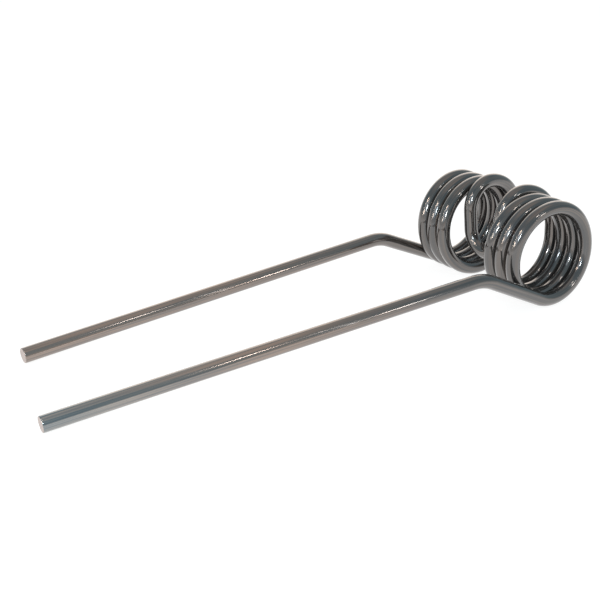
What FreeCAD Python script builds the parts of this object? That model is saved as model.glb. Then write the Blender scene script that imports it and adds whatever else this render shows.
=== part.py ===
"""Double spring tine for a hay tedder, bent from one length of round spring wire.

The wire starts at one leg tip, runs up the leg, over a knee and down the shank, winds
into a coil, crosses to the other side through a hairpin loop between the coils, and
winds out again the opposite way into the second leg. Millimetres, +Z up. The legs point
to -X, the coils' axis is parallel to Y, and the piece lies on its coils and leg tips.
"""
import FreeCAD, Part
import math
import os

V = FreeCAD.Vector
NODE = "spring_tine"

SIZES = [
    ("wire_diameter", 9.5, "round spring wire"),
    ("coil_outside_diameter", 71.5, "over the wire"),
    ("turn_gap", 0.8, "clear space between neighbouring turns"),
    ("whole_turns", 3, "turns of a coil before its crown"),
    ("near_shank_angle", 25.0, "degrees that the shank at -Y rises above level"),
    ("far_shank_angle", 22.9, "degrees that the shank at +Y rises above level"),
    ("shank_length", 57.0, "from the coil to the knee's corner"),
    ("shank_drift", 0.6, "degrees that each shank leans outward"),
    ("lead_angle", 35.0, "degrees of winding that take up the turns' slope"),
    ("knee_radius", 33.0, "on the wire's centre line"),
    ("near_leg_length", 289.5, "from the knee's corner to the tip, at -Y"),
    ("far_leg_length", 267.0, "from the knee's corner to the tip, at +Y"),
    ("near_toe_in", 3.7, "degrees that the leg at -Y leans towards the other"),
    ("far_toe_in", 0.5, "degrees that the leg at +Y leans towards the other"),
    ("crown_start", 1.0, "degrees past the back where the coil lets go"),
    ("crown_rise", 6.0, "straight run before the crown"),
    ("crown_radius", 28.5, "wide bend over the top of the loop"),
    ("crown_angle", 87.0, "degrees of that bend"),
    ("hook_radius", 18.0, "tight bend down into the loop"),
    ("loop_lean", 4.5, "degrees that the loop leans back at its foot"),
    ("loop_straight", 12.5, "straight side of the loop"),
    ("loop_width", 28.5, "between the centre lines of the loop's sides"),
    ("tip_rounding", 0.6, "radius at the rim of the cropped ends"),
]


def make_sheet(doc):
    """Spreadsheet with one row per driving size."""
    sheet = doc.addObject("Spreadsheet::Sheet", "Sizes")
    for row, (alias, value, note) in enumerate(SIZES, start=1):
        sheet.set(f"A{row}", alias)
        sheet.set(f"B{row}", str(value))
        sheet.set(f"C{row}", note)
        sheet.setAlias(f"B{row}", alias)
    doc.recompute()
    return sheet


class Pen:
    """Draws a tangent-continuous centre line from a place and a heading."""

    def __init__(self, place, heading):
        self.place = V(place)
        self.heading = V(heading).normalize()
        self.edges = []

    def straight(self, length):
        end = self.place + self.heading * length
        self.edges.append(Part.LineSegment(self.place, end).toShape())
        self.place = end

    def bend_to(self, radius, heading):
        """Flat arc that ends in the given heading."""
        angle = self.heading.getAngle(heading)
        inward = heading - self.heading * heading.dot(self.heading)
        inward.normalize()
        centre = self.place + inward * radius

        def point(turned):
            ahead = self.heading * math.sin(turned)
            return centre + (ahead - inward * math.cos(turned)) * radius

        self.edges.append(Part.Arc(self.place, point(angle / 2), point(angle)).toShape())
        self.place = point(angle)
        self.heading = V(heading)

    def corner(self, length, radius, heading):
        """Straight run of the given length up to a corner, which a flat arc rounds."""
        cut_back = radius * math.tan(self.heading.getAngle(heading) / 2)
        self.straight(length - cut_back)
        self.bend_to(radius, heading)
        return cut_back

    def wind(self, radius, angle):
        """Helical arc round an axis parallel to Y, from +X towards +Z, that keeps its slope."""
        flat = V(self.heading.x, 0, self.heading.z)
        slope = -self.heading.y / flat.Length
        flat.normalize()
        outward = V(flat.z, 0, -flat.x)
        centre = self.place - outward * radius
        advance = slope * radius * angle
        helix = Part.makeHelix(slope * radius * 2 * math.pi, advance, radius)
        to_axis = FreeCAD.Rotation(V(1, 0, 0), 90)
        to_start = FreeCAD.Rotation(V(0, 0, 1), math.degrees(math.atan2(outward.z, outward.x)))
        helix.Placement = FreeCAD.Placement(centre, to_axis * to_start)
        self.edges.extend(helix.Edges)
        turn = FreeCAD.Rotation(V(0, -1, 0), math.degrees(angle))
        self.place = centre + turn.multVec(outward * radius) - V(0, advance, 0)
        self.heading = turn.multVec(self.heading)


def side_path(size, shank_angle, leg_length, leg_toe_in):
    """Edges of a side drawn at +Y, from its leg tip to the loop's foot, and the tip's pen."""
    wire_radius = size.wire_diameter / 2
    coil_radius = size.coil_outside_diameter / 2 - wire_radius
    pitch = size.wire_diameter + size.turn_gap
    slope = math.atan(pitch / (2 * math.pi * coil_radius))
    start_angle = math.radians(size.lead_angle - shank_angle - 90)
    turned = 2 * math.pi * size.whole_turns + math.radians(size.crown_start) - start_angle
    crown = math.radians(size.crown_angle)
    hook = math.radians(180 + size.loop_lean - size.crown_start - size.crown_angle)
    sloping_length = (turned * coil_radius + crown * size.crown_radius
                      + hook * size.hook_radius)
    rise = (size.crown_rise + size.loop_straight) * math.sin(slope)
    start = V(coil_radius * math.cos(start_angle),
              size.loop_width / 2 + sloping_length * math.tan(slope) + rise,
              size.coil_outside_diameter / 2 + coil_radius * math.sin(start_angle))
    heading = V(-math.sin(start_angle), -math.tan(slope), math.cos(start_angle))

    inner = Pen(start, heading)
    inner.wind(coil_radius, turned)
    inner.straight(size.crown_rise)
    inner.wind(size.crown_radius, crown)
    inner.wind(size.hook_radius, hook)
    inner.straight(size.loop_straight)
    inner.bend_to(size.loop_width / 2 / math.cos(slope), V(0, -1, 0))

    shank = math.radians(shank_angle)
    drift = math.radians(size.shank_drift)
    outer = Pen(start, -heading)
    outer.bend_to(coil_radius, V(-math.cos(shank) * math.cos(drift), math.sin(drift),
                                 math.sin(shank) * math.cos(drift)))
    knee_height = outer.place.z + size.shank_length * outer.heading.z
    drop = (math.asin(knee_height / math.hypot(leg_length, wire_radius))
            - math.atan(wire_radius / leg_length))
    toe_in = math.radians(leg_toe_in)
    cut_back = outer.corner(size.shank_length, size.knee_radius,
                            V(-math.cos(toe_in) * math.cos(drop),
                              -math.sin(toe_in) * math.cos(drop), -math.sin(drop)))
    outer.straight(leg_length - cut_back)
    return outer.edges[::-1] + inner.edges, outer


def add_centre_line(doc, size):
    """The whole path as one wire, and the pen that stands on the tip at +Y."""
    far_edges, far_tip = side_path(size, size.far_shank_angle, size.far_leg_length,
                                   size.far_toe_in)
    near_edges, _ = side_path(size, size.near_shank_angle, size.near_leg_length,
                              size.near_toe_in)
    mirrored = [edge.mirror(V(0, 0, 0), V(0, 1, 0)) for edge in near_edges[::-1]]
    line = doc.addObject("Part::Feature", "CentreLine")
    line.Shape = Part.Wire(far_edges + mirrored)
    return line, far_tip


def add_bent_wire(doc, line, tip):
    """Sweeps the round section along the centre line."""
    section = doc.addObject("Part::Circle", "WireSection")
    section.setExpression("Radius", "Sizes.wire_diameter / 2")
    section.Placement = FreeCAD.Placement(tip.place, FreeCAD.Rotation(V(0, 0, 1), tip.heading))
    sweep = doc.addObject("Part::Sweep", "BentWire")
    sweep.Sections = [section]
    sweep.Spine = (line, [f"Edge{n}" for n in range(1, len(line.Shape.Edges) + 1)])
    sweep.Solid = True
    doc.recompute()
    return section, sweep


def move_to_origin(doc, parts, solid):
    """Puts the origin under the middle of the piece, at the level that it lies on."""
    box = solid.Shape.optimalBoundingBox()
    shift = V(-box.Center.x, -box.Center.y, -box.ZMin)
    for part in parts:
        part.Placement = FreeCAD.Placement(shift, FreeCAD.Rotation()) * part.Placement
    doc.recompute()


def add_tip_rounding(doc, sweep, size):
    """Breaks the rim of both flat ends, which the rest of the wire covers nowhere."""
    rims = []
    for face in sweep.Shape.Faces:
        if isinstance(face.Surface, Part.Plane):
            rims.extend(face.Edges)
    numbers = [n for n, edge in enumerate(sweep.Shape.Edges, start=1)
               if any(edge.isSame(rim) for rim in rims)]
    tine = doc.addObject("Part::Fillet", "SpringTine")
    tine.Base = sweep
    tine.Edges = [(n, size.tip_rounding, size.tip_rounding) for n in numbers]
    tine.Label = NODE
    doc.recompute()
    return tine


def check(doc, tine):
    for item in doc.Objects:
        if "Invalid" in item.State or "Error" in item.State:
            raise RuntimeError(f"{item.Label} failed: {item.State}")
    shape = tine.Shape
    if shape.isNull() or not shape.isValid() or len(shape.Solids) != 1:
        raise RuntimeError(f"{tine.Label} is not one valid solid")


def main():
    doc = FreeCAD.newDocument("SpringTine")
    size = make_sheet(doc)
    line, tip = add_centre_line(doc, size)
    section, sweep = add_bent_wire(doc, line, tip)
    move_to_origin(doc, [line, section], sweep)
    tine = add_tip_rounding(doc, sweep, size)
    check(doc, tine)
    os.makedirs("parts", exist_ok=True)
    tine.Shape.exportStep(f"parts/{tine.Label}.step")
    box = tine.Shape.optimalBoundingBox()
    print(f"{tine.Label}: {box.XLength:.1f} x {box.YLength:.1f} x {box.ZLength:.1f} mm,"
          f" wire {line.Shape.Length:.0f} mm long, {tine.Shape.Volume / 1000:.1f} cm3")
    return doc


DOCUMENT = main()
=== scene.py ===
"""Looks of the double spring tine: its wire, its finish, and a small white studio round it.

The wire is drawn again from the same driving sizes as the solid, so that its surface carries
the place along the wire, which the finish follows round every bend. Lengths are in metres.
"""
import math

import bmesh
import bpy
from mathutils import Matrix, Quaternion, Vector
from mathutils.kdtree import KDTree


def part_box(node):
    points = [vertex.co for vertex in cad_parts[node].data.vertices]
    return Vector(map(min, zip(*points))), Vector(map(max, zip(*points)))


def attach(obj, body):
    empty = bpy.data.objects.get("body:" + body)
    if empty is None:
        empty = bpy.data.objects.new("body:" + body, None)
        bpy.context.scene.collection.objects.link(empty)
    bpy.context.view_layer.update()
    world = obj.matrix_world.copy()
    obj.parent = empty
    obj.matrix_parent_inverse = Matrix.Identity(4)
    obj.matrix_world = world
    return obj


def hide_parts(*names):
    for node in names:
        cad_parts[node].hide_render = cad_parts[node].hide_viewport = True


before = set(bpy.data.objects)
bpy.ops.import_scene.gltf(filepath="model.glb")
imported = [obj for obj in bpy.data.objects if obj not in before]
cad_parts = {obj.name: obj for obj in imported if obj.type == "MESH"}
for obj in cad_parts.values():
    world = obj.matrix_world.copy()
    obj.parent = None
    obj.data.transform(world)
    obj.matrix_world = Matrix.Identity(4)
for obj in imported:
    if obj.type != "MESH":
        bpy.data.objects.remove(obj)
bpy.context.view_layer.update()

bl_info = {
    "name": "Tedder spring tine",
    "version": (1, 0, 0),
    "blender": (4, 5, 0),
    "location": "View3D > Sidebar > Tine",
    "description": "Draws a double spring tine with its finish, and sets it in a white studio",
    "category": "Add Mesh",
}

NODE = "spring_tine"
WIRE_PLACE = "wire_place"
MM = 0.001
SIDES_ROUND = 40
STEPS_PER_TURN = 96
RIM_SEGMENTS = 4
SMOOTH_BELOW = math.radians(40)

# Where the wire's colours change, in metres of wire from its two ends
NEAR_TIP_RUN = 0.12
NEAR_LEG_RUN = 0.3
FAR_TIP_RUN = 0.05
FAR_LEG_RUN = 0.34

# Cells of each pattern in a metre, twice across the wire and then along it: temper streaks
# 0.9 mm wide, lines from the drawing die 0.7 mm wide, and a sheared end's tears of 0.5 by 2 mm
STREAK_CELLS = (1100, 1100, 11)
DIE_LINE_CELLS = (1500, 1500, 14)
TEAR_CELLS = (2200, 500, 500)

# Camera: metres, degrees, and the lens in millimetres
CAMERA_TARGET = Vector((-0.014, -0.006, 0.0252))
CAMERA_DISTANCE = 0.650
CAMERA_AZIMUTH = -123.84
CAMERA_ELEVATION = 21.84
CAMERA_ROLL = 0.4
CAMERA_LENS = 63.19

# Lamps: name, degrees round from the camera and up, distance, width, height, radiance, tint
LAMPS = [
    ("flash", -8, 26, 0.8, 0.03, 0.16, 90, "#eaf8ff"),
    ("soft_panel", -38, 28, 1.3, 1.1, 0.8, 0.9, "#e6f1ff"),
    ("left_low", -50, 17, 1.1, 0.035, 0.2, 44, "#ffefdd"),
    ("left_high", -46, 45, 1.1, 0.04, 0.16, 44, "#ffe7d1"),
    ("left_strip", -66, 30, 1.1, 0.012, 0.9, 26, "#ffecda"),
    ("right_low", 59.5, 17, 2, 0.14, 0.12, 22, "#fff7f1"),
    ("right_high", 43.5, 42, 2, 0.16, 0.1, 20, "#fff3ea"),
    ("right_strip", 54, 26, 2, 0.016, 1.4, 7, "#fff9f6"),
]

# Floor: grey for the light that it throws up, with a glow that makes it white to the eye
FLOOR_WIDTH = 30
FLOOR_GREY = "#898989"
FLOOR_GLOW = 0.9
PLAIN_WHITE = (1, 1, 1, 1)

# Room: its colours from level at 0 to straight up at 1, and the paper swept up behind the
# piece, whose edge runs between two cosines of the angle from its middle
ROOM = [(0.05, "#e7e7e7"), (0.2, "#9aaeb7"), (0.8, "#98aab3"), (0.95, "#cbc7c4")]
SWEEP_ELEVATION = 10
SWEEP_EDGE = (0.7, 0.92)
SWEEP_TINT = "#fff5ec"
SWEEP_STRENGTH = 1.5


def length(name, description, value):
    """A size in metres, stated in millimetres."""
    return bpy.props.FloatProperty(name=name, description=description, default=value * MM,
                                   subtype="DISTANCE", unit="LENGTH", precision=4)


def angle(name, description, value):
    """An angle, stated in degrees."""
    return bpy.props.FloatProperty(name=name, description=description,
                                   default=math.radians(value), subtype="ANGLE",
                                   unit="ROTATION")


def linear(hex_colour):
    """Linear red, green and blue of an sRGB hex value."""
    parts = [int(hex_colour[k:k + 2], 16) / 255 for k in (1, 3, 5)]
    return [c / 12.92 if c <= 0.04045 else ((c + 0.055) / 1.055) ** 2.4 for c in parts]


def colour(name, description, hex_colour):
    """A colour, stated as an sRGB hex value."""
    return bpy.props.FloatVectorProperty(name=name, description=description, size=3,
                                         default=linear(hex_colour), subtype="COLOR",
                                         min=0, max=1)


class TineSizes(bpy.types.PropertyGroup):
    """Driving sizes of the bent wire."""

    wire_diameter: length("Wire", "Round spring wire", 9.5)
    coil_outside: length("Coil", "Outside diameter of a coil, over the wire", 71.5)
    turn_gap: length("Turn gap", "Clear space between neighbouring turns", 0.8)
    whole_turns: bpy.props.IntProperty(name="Turns", description="Turns before the crown",
                                       default=3, min=1, max=12)
    near_shank_angle: angle("Near shank", "Rise of the shank at -Y", 25)
    far_shank_angle: angle("Far shank", "Rise of the shank at +Y", 22.9)
    shank_length: length("Shank", "From the coil to the knee's corner", 57)
    shank_drift: angle("Drift", "Outward lean of each shank", 0.6)
    lead_angle: angle("Lead", "Winding that takes up the turns' slope", 35)
    knee_radius: length("Knee", "Bend between shank and leg, on the centre line", 33)
    near_leg_length: length("Near leg", "From the knee's corner to the tip, at -Y", 289.5)
    far_leg_length: length("Far leg", "From the knee's corner to the tip, at +Y", 267)
    near_toe_in: angle("Near toe-in", "Lean of the leg at -Y towards the other", 3.7)
    far_toe_in: angle("Far toe-in", "Lean of the leg at +Y towards the other", 0.5)
    crown_start: angle("Crown start", "Past the back, where the coil lets go", 1)
    crown_rise: length("Crown rise", "Straight run before the crown", 6)
    crown_radius: length("Crown", "Wide bend over the top of the loop", 28.5)
    crown_angle: angle("Crown angle", "Turn of that bend", 87)
    hook_radius: length("Hook", "Tight bend down into the loop", 18)
    loop_lean: angle("Loop lean", "Backward lean of the loop at its foot", 4.5)
    loop_straight: length("Loop side", "Straight side of the loop", 12.5)
    loop_width: length("Loop width", "Between the centre lines of the loop's sides", 28.5)
    tip_rounding: length("Tip rounding", "Radius at the rim of the cropped ends", 0.6)


class TineFinish(bpy.types.PropertyGroup):
    """Colours of the wire."""

    coil: colour("Coils", "Oil-tempered wire in the coils, loop and crown", "#797573")
    leg: colour("Legs", "Paler wire of the legs", "#a89a92")
    tip: colour("Tip", "Bluer wire at the end of the leg at -Y", "#a2a7a9")
    blue: colour("Blue streaks", "Tint of the bluer streaks along the wire", "#c6cdd1")
    brown: colour("Brown streaks", "Tint of the browner streaks along the wire", "#faf1e9")
    cut: colour("Cropped end", "Bare steel of the cropped ends", "#d3c5bf")


class Pen:
    """Draws wire in edit mode: every run or bend carries the selected end ring along."""

    def __init__(self, heading):
        self.place = Vector((0, 0, 0))
        self.heading = Vector(heading).normalized()
        self.steady = Vector((0, 0, 1))
        self.drawn = 0.0
        self.stations = []
        self.note()

    def note(self):
        """Notes the place, the heading, the ring's own up and the wire drawn so far."""
        self.stations.append((self.place.copy(), self.heading.copy(), self.steady.copy(),
                              self.drawn))

    def straight(self, run):
        """Straight run along the heading."""
        step = self.heading * run
        bpy.ops.mesh.extrude_region_move(TRANSFORM_OT_translate={"value": step})
        self.place += step
        self.drawn += run
        self.note()

    def turn(self, centre, axis, turned, advance, arc):
        """Turns the ring about an axis, in even steps, while it advances along that axis."""
        steps = max(2, math.ceil(STEPS_PER_TURN * turned / (2 * math.pi)))
        small = Quaternion(axis, turned / steps)
        shift = axis * (advance / steps)
        for _ in range(steps):
            bpy.ops.mesh.extrude_region_move(TRANSFORM_OT_translate={"value": shift})
            self.rotate_ring(centre, axis, turned / steps)
            self.place = centre + small @ (self.place - centre) + shift
            self.heading.rotate(small)
            self.steady.rotate(small)
            self.drawn += arc / steps
            self.note()

    @staticmethod
    def rotate_ring(centre, axis, turned):
        """Rotates the selected end ring about an axis."""
        mesh = bmesh.from_edit_mesh(bpy.context.object.data)
        ring = [v for v in mesh.verts if v.select]
        bmesh.ops.rotate(mesh, verts=ring, cent=centre,
                         matrix=Matrix.Rotation(turned, 3, axis))
        bmesh.update_edit_mesh(bpy.context.object.data, loop_triangles=False)

    def bend_to(self, radius, heading):
        """Flat bend that ends in the given heading."""
        heading = Vector(heading).normalized()
        turned = self.heading.angle(heading)
        axis = self.heading.cross(heading).normalized()
        centre = self.place + axis.cross(self.heading) * radius
        self.turn(centre, axis, turned, 0, radius * turned)

    def corner(self, run, radius, heading):
        """Straight run up to a corner, which a flat bend rounds."""
        cut_back = radius * math.tan(self.heading.angle(Vector(heading)) / 2)
        self.straight(run - cut_back)
        self.bend_to(radius, heading)
        return cut_back

    def wind(self, radius, turned, way):
        """Helix about an axis parallel to Y that keeps the heading's slope."""
        axis = Vector((0, way, 0))
        level = Vector((self.heading.x, 0, self.heading.z))
        slope = self.heading.y / level.length
        centre = self.place + axis.cross(level.normalized()) * radius
        run = radius * turned
        advance = slope * run * way
        self.turn(centre, axis, turned, advance, run * math.hypot(1, slope))


def draw_side(size, way):
    """Draws one side from the foot of the loop to its leg tip, towards way (1 or -1) in Y."""
    near = way < 0
    shank_angle = size.near_shank_angle if near else size.far_shank_angle
    toe_in = size.near_toe_in if near else size.far_toe_in
    leg = size.near_leg_length if near else size.far_leg_length
    wire_radius = size.wire_diameter / 2
    coil_radius = size.coil_outside / 2 - wire_radius
    slope = math.atan((size.wire_diameter + size.turn_gap) / (2 * math.pi * coil_radius))
    hook = math.pi + size.loop_lean - size.crown_start - size.crown_angle
    winding = (2 * math.pi * size.whole_turns + size.crown_start + math.pi / 2 + shank_angle
               - size.lead_angle)
    side_up = Vector((math.sin(-size.loop_lean) * math.cos(slope), way * math.sin(slope),
                      math.cos(size.loop_lean) * math.cos(slope)))

    pen = Pen((0, way, 0))
    pen.bend_to(size.loop_width / 2 / math.cos(slope), side_up)
    pen.straight(size.loop_straight)
    pen.wind(size.hook_radius, hook, 1)
    pen.wind(size.crown_radius, size.crown_angle, 1)
    pen.straight(size.crown_rise)
    pen.wind(coil_radius, winding, 1)
    pen.bend_to(coil_radius, (-math.cos(shank_angle) * math.cos(size.shank_drift),
                              way * math.sin(size.shank_drift),
                              math.sin(shank_angle) * math.cos(size.shank_drift)))
    coil_low = lowest(pen.stations) - wire_radius
    knee_height = pen.place.z + size.shank_length * pen.heading.z - coil_low
    drop = (math.asin(knee_height / math.hypot(leg, wire_radius))
            - math.atan(wire_radius / leg))
    cut_back = pen.corner(size.shank_length, size.knee_radius,
                          (-math.cos(toe_in) * math.cos(drop),
                           -way * math.sin(toe_in) * math.cos(drop), -math.sin(drop)))
    pen.straight(leg - cut_back)
    return pen


def lowest(stations):
    """Height of the lowest place on the centre line."""
    return min(place.z for place, _, _, _ in stations)


def select_verts(mesh, wanted):
    """Selects in edit mode only the vertices that pass a test, and the edges between them."""
    bpy.ops.mesh.select_all(action="DESELECT")
    for vert in mesh.verts:
        vert.select = wanted(vert)
    mesh.select_flush_mode()


def close_ends(size):
    """Closes both open ends and rounds their rims."""
    bpy.ops.mesh.select_all(action="SELECT")
    bpy.ops.mesh.fill_holes(sides=0)
    bpy.ops.mesh.normals_make_consistent(inside=False)
    mesh = bmesh.from_edit_mesh(bpy.context.object.data)
    for face in mesh.faces:
        face.select = len(face.verts) == SIDES_ROUND
    mesh.select_flush_mode()
    bpy.ops.mesh.select_mode(type="FACE")
    bpy.ops.object.material_slot_add()
    bpy.ops.object.material_slot_add()
    bpy.context.object.active_material_index = 1
    bpy.ops.object.material_slot_assign()
    bpy.ops.mesh.bevel(offset=size.tip_rounding, segments=RIM_SEGMENTS, affect="EDGES")


def write_wire_place(wire, stations):
    """Stores each vertex's place on the wire as it was before bending, along local Z."""
    tree = KDTree(len(stations))
    for k, (place, _, _, _) in enumerate(stations):
        tree.insert(place, k)
    tree.balance()
    places = []
    for vert in wire.data.vertices:
        _, k, _ = tree.find(vert.co)
        place, heading, steady, drawn = stations[k]
        offset = vert.co - place
        side = heading.cross(steady)
        places += [offset.dot(side), offset.dot(steady), drawn + offset.dot(heading)]
    layer = wire.data.attributes.new(WIRE_PLACE, "FLOAT_VECTOR", "POINT")
    layer.data.foreach_set("vector", places)


def add_node(tree, kind, settings=None, **links):
    """Adds a shader node. Settings are attributes or socket values, links are its inputs."""
    node = tree.nodes.new(kind)
    for key, value in (settings or {}).items():
        if hasattr(node, key):
            setattr(node, key, value)
        else:
            node.inputs[key].default_value = value
    for socket, source in links.items():
        tree.links.new(source, node.inputs[socket])
    return node


def set_inputs(node, values):
    """Sets values on a node's own input sockets."""
    for socket, value in values.items():
        node.inputs[socket].default_value = value


def new_material(name):
    """Material with nodes, its node tree and its shader."""
    material = bpy.data.materials.new(name)
    material.use_nodes = True
    tree = material.node_tree
    return material, tree, tree.nodes["Principled BSDF"]


def oil_tempered_wire(finish, ends):
    """Hard-drawn wire, oil-tempered and clear-coated: dark and glossy, with faint lines from the
    die, and bluer and browner streaks of temper along it."""
    material, tree, shader = new_material("oil_tempered_wire")
    place = add_node(tree, "ShaderNodeAttribute", {"attribute_name": WIRE_PLACE})
    parts = add_node(tree, "ShaderNodeSeparateXYZ", Vector=place.outputs["Vector"])
    along = add_node(tree, "ShaderNodeMapRange", {"From Min": ends[0], "From Max": ends[1]},
                     Value=parts.outputs["Z"])
    temper = add_node(tree, "ShaderNodeValToRGB", Fac=along.outputs["Result"])
    whole = ends[1] - ends[0]
    fill_ramp(temper, [(0, finish.tip),
                       (NEAR_TIP_RUN / whole, finish.leg),
                       (NEAR_LEG_RUN / whole, finish.coil),
                       (1 - FAR_LEG_RUN / whole, finish.coil),
                       (1 - FAR_TIP_RUN / whole, finish.leg)])
    streak_place = add_node(tree, "ShaderNodeMapping", {"Scale": STREAK_CELLS},
                            Vector=place.outputs["Vector"])
    streaks = add_node(tree, "ShaderNodeTexNoise", {"Scale": 1.0, "Detail": 4.0},
                       Vector=streak_place.outputs["Vector"])
    stain = add_node(tree, "ShaderNodeValToRGB", Fac=streaks.outputs["Fac"])
    fill_ramp(stain, [(0.38, finish.blue), (0.62, finish.brown)])
    stained = add_node(tree, "ShaderNodeVectorMath", {"operation": "MULTIPLY"})
    tree.links.new(temper.outputs["Color"], stained.inputs[0])
    tree.links.new(stain.outputs["Color"], stained.inputs[1])
    tree.links.new(stained.outputs["Vector"], shader.inputs["Base Color"])
    line_place = add_node(tree, "ShaderNodeMapping", {"Scale": DIE_LINE_CELLS},
                          Vector=place.outputs["Vector"])
    lines = add_node(tree, "ShaderNodeTexNoise", {"Scale": 1.0, "Detail": 2.0},
                     Vector=line_place.outputs["Vector"])
    bump = add_node(tree, "ShaderNodeBump", {"Strength": 0.012, "Distance": 0.0001},
                    Height=lines.outputs["Fac"])
    tree.links.new(bump.outputs["Normal"], shader.inputs["Normal"])
    set_inputs(shader, {"Metallic": 0.78, "Roughness": 0.14, "Coat Weight": 1,
                        "Coat Roughness": 0.05})
    return material


def cropped_end(finish):
    """Steel sheared without heat: bare, pale and matt, torn across by the shear."""
    material, tree, shader = new_material("cropped_end")
    place = add_node(tree, "ShaderNodeAttribute", {"attribute_name": WIRE_PLACE})
    tear = add_node(tree, "ShaderNodeMapping", {"Scale": TEAR_CELLS},
                    Vector=place.outputs["Vector"])
    grain = add_node(tree, "ShaderNodeTexNoise", {"Scale": 1.0, "Detail": 4.0},
                     Vector=tear.outputs["Vector"])
    bump = add_node(tree, "ShaderNodeBump", {"Strength": 0.4, "Distance": 0.0001},
                    Height=grain.outputs["Fac"])
    tree.links.new(bump.outputs["Normal"], shader.inputs["Normal"])
    set_inputs(shader, {"Base Color": (*finish.cut, 1), "Metallic": 0.6, "Roughness": 0.5})
    return material


class TINE_OT_bend_wire(bpy.types.Operator):
    """Bends the wire into coils, loop, shanks and legs, and gives it its finish"""

    bl_idname = "tine.bend_wire"
    bl_label = "Bend the wire"

    def execute(self, context):
        size = context.scene.tine_sizes
        bpy.ops.object.select_all(action="DESELECT")
        bpy.ops.mesh.primitive_circle_add(vertices=SIDES_ROUND, radius=size.wire_diameter / 2,
                                          fill_type="NOTHING",
                                          rotation=(math.radians(90), 0, 0))
        wire = context.object
        wire.name = "bent_wire"
        bpy.ops.object.transform_apply()
        bpy.ops.object.mode_set(mode="EDIT")
        bpy.ops.mesh.select_mode(type="VERT")
        bpy.ops.mesh.select_all(action="SELECT")
        far = draw_side(size, 1)
        mesh = bmesh.from_edit_mesh(wire.data)
        middle = 0.01 * size.wire_diameter
        select_verts(mesh, lambda vert: abs(vert.co.y) < middle)
        bmesh.update_edit_mesh(wire.data)
        near = draw_side(size, -1)
        close_ends(size)
        bpy.ops.object.mode_set(mode="OBJECT")
        bpy.ops.object.shade_smooth_by_angle(angle=SMOOTH_BELOW)
        stations = far.stations + [(p, h, s, -d) for p, h, s, d in near.stations]
        write_wire_place(wire, stations)
        finish = context.scene.tine_finish
        ends = (-near.drawn, far.drawn)
        wire.material_slots[0].material = oil_tempered_wire(finish, ends)
        wire.material_slots[1].material = cropped_end(finish)
        seat_in_frame(wire)
        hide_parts(NODE)
        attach(wire, "root")
        return {"FINISHED"}


def seat_in_frame(wire):
    """Moves the finished mesh to where the solid is: the middles of both boxes meet."""
    low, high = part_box(NODE)
    lows = [min(v.co[k] for v in wire.data.vertices) for k in range(3)]
    highs = [max(v.co[k] for v in wire.data.vertices) for k in range(3)]
    own_middle = (Vector(lows) + Vector(highs)) / 2
    wire.data.transform(Matrix.Translation((low + high) / 2 - own_middle))


class TINE_OT_set_studio(bpy.types.Operator):
    """Sets the white floor, the lamps, the world and the camera"""

    bl_idname = "tine.set_studio"
    bl_label = "Set the studio"

    def execute(self, context):
        add_floor()
        add_world(context.scene)
        for lamp in LAMPS:
            add_lamp(*lamp)
        add_camera(context.scene)
        context.scene.view_settings.view_transform = "Standard"
        return {"FINISHED"}


def direction(azimuth, elevation):
    """Unit vector at an azimuth and elevation, in degrees."""
    a, e = math.radians(azimuth), math.radians(elevation)
    return Vector((math.cos(e) * math.cos(a), math.cos(e) * math.sin(a), math.sin(e)))


def add_floor():
    """Matt paper that looks white, and lights the piece from below as a plain grey does."""
    bpy.ops.object.select_all(action="DESELECT")
    bpy.ops.mesh.primitive_plane_add(size=FLOOR_WIDTH)
    floor = bpy.context.object
    floor.name = "floor"
    material, tree, shader = new_material("white_paper")
    path = add_node(tree, "ShaderNodeLightPath")
    shown = path.outputs["Is Camera Ray"]
    for ray in ("Is Glossy Ray", "Is Transmission Ray"):
        either = add_node(tree, "ShaderNodeMath", {"operation": "MAXIMUM"})
        tree.links.new(shown, either.inputs[0])
        tree.links.new(path.outputs[ray], either.inputs[1])
        shown = either.outputs[0]
    glow = add_node(tree, "ShaderNodeMath", {"operation": "MULTIPLY"})
    set_inputs(glow, {1: FLOOR_GLOW})
    tree.links.new(shown, glow.inputs[0])
    tree.links.new(glow.outputs[0], shader.inputs["Emission Strength"])
    set_inputs(shader, {"Base Color": (*linear(FLOOR_GREY), 1), "Roughness": 0.9,
                        "Specular IOR Level": 0, "Emission Color": PLAIN_WHITE})
    floor.data.materials.append(material)


def add_world(scene):
    """Dim room with a pale sweep of paper behind the piece, which the wire reflects. The camera
    itself sees plain white round the floor."""
    world = bpy.data.worlds.new("studio")
    scene.world = world
    world.use_nodes = True
    tree = world.node_tree
    place = add_node(tree, "ShaderNodeTexCoord")
    parts = add_node(tree, "ShaderNodeSeparateXYZ", Vector=place.outputs["Generated"])
    room = add_node(tree, "ShaderNodeValToRGB", Fac=parts.outputs["Z"])
    fill_ramp(room, [(height, linear(tone)) for height, tone in ROOM])
    behind = add_node(tree, "ShaderNodeVectorMath", {"operation": "DOT_PRODUCT"},
                      Vector=place.outputs["Generated"])
    set_inputs(behind, {1: direction(CAMERA_AZIMUTH + 180, SWEEP_ELEVATION)})
    sweep = add_node(tree, "ShaderNodeMapRange",
                     {"From Min": SWEEP_EDGE[0], "From Max": SWEEP_EDGE[1]},
                     Value=behind.outputs["Value"])
    paper = [SWEEP_STRENGTH * part for part in linear(SWEEP_TINT)] + [1]
    path = add_node(tree, "ShaderNodeLightPath")
    seen = room.outputs["Color"]
    for factor, tone in ((sweep.outputs["Result"], paper),
                         (path.outputs["Is Camera Ray"], PLAIN_WHITE)):
        mix = add_node(tree, "ShaderNodeMix", {"data_type": "RGBA"}, Factor=factor)
        set_inputs(mix, {7: tone})
        tree.links.new(seen, mix.inputs[6])
        seen = mix.outputs[2]
    tree.links.new(seen, tree.nodes["Background"].inputs["Color"])


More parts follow.
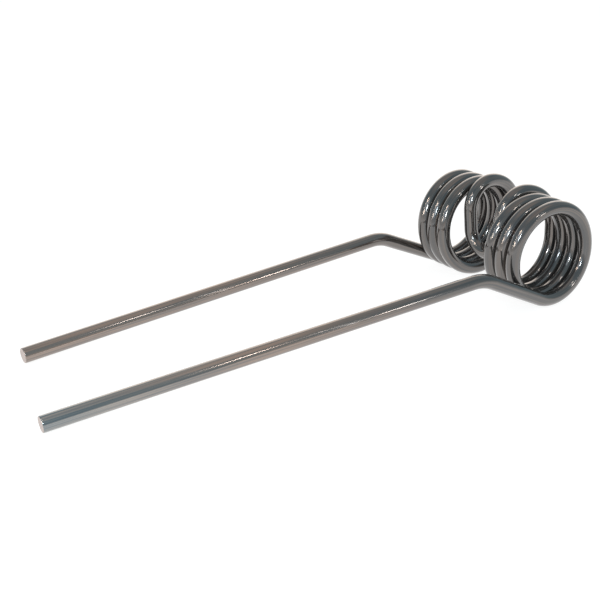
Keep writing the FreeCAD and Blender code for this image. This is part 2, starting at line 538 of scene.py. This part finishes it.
def fill_ramp(ramp, stops):
    """Gives a colour ramp its stops, each a position and a colour."""
    elements = ramp.color_ramp.elements
    for element, (position, tone) in zip(elements, (stops[0], stops[-1])):
        element.position = position
        element.color = (*tone, 1)
    for position, tone in stops[1:-1]:
        elements.new(position).color = (*tone, 1)


def add_lamp(name, azimuth, elevation, distance, width, height, radiance, tint):
    """Flat rectangular lamp that faces the piece."""
    bearing = direction(CAMERA_AZIMUTH + azimuth, elevation)
    bpy.ops.object.light_add(type="AREA", location=CAMERA_TARGET + bearing * distance)
    lamp = bpy.context.object
    lamp.name = name
    lamp.rotation_euler = bearing.to_track_quat("Z", "Y").to_euler()
    lamp.data.shape = "RECTANGLE"
    lamp.data.size = width
    lamp.data.size_y = height
    lamp.data.color = linear(tint)
    lamp.data.energy = radiance * width * height * math.pi


def add_camera(scene):
    """Camera at the photo's viewing angle."""
    bearing = direction(CAMERA_AZIMUTH, CAMERA_ELEVATION)
    bpy.ops.object.camera_add(location=CAMERA_TARGET + bearing * CAMERA_DISTANCE)
    camera = bpy.context.object
    upright = bearing.to_track_quat("Z", "Y")
    roll = Quaternion((0, 0, 1), math.radians(CAMERA_ROLL))
    camera.rotation_euler = (upright @ roll).to_euler()
    camera.data.lens = CAMERA_LENS
    scene.camera = camera


class TINE_PT_panel(bpy.types.Panel):
    """Buttons and sizes of the tine"""

    bl_idname = "TINE_PT_panel"
    bl_label = "Spring tine"
    bl_space_type = "VIEW_3D"
    bl_region_type = "UI"
    bl_category = "Tine"

    def draw(self, context):
        column = self.layout.column()
        for settings in (context.scene.tine_sizes, context.scene.tine_finish):
            for name in settings.__annotations__:
                column.prop(settings, name)
        column.operator(TINE_OT_bend_wire.bl_idname)
        column.operator(TINE_OT_set_studio.bl_idname)


CLASSES = (TineSizes, TineFinish, TINE_OT_bend_wire, TINE_OT_set_studio, TINE_PT_panel)


def register():
    for cls in CLASSES:
        bpy.utils.register_class(cls)
    bpy.types.Scene.tine_sizes = bpy.props.PointerProperty(type=TineSizes)
    bpy.types.Scene.tine_finish = bpy.props.PointerProperty(type=TineFinish)


def unregister():
    del bpy.types.Scene.tine_finish
    del bpy.types.Scene.tine_sizes
    for cls in reversed(CLASSES):
        bpy.utils.unregister_class(cls)


def main():
    register()
    bpy.ops.tine.bend_wire()
    bpy.ops.tine.set_studio()


if __name__ == "__main__":
    main()
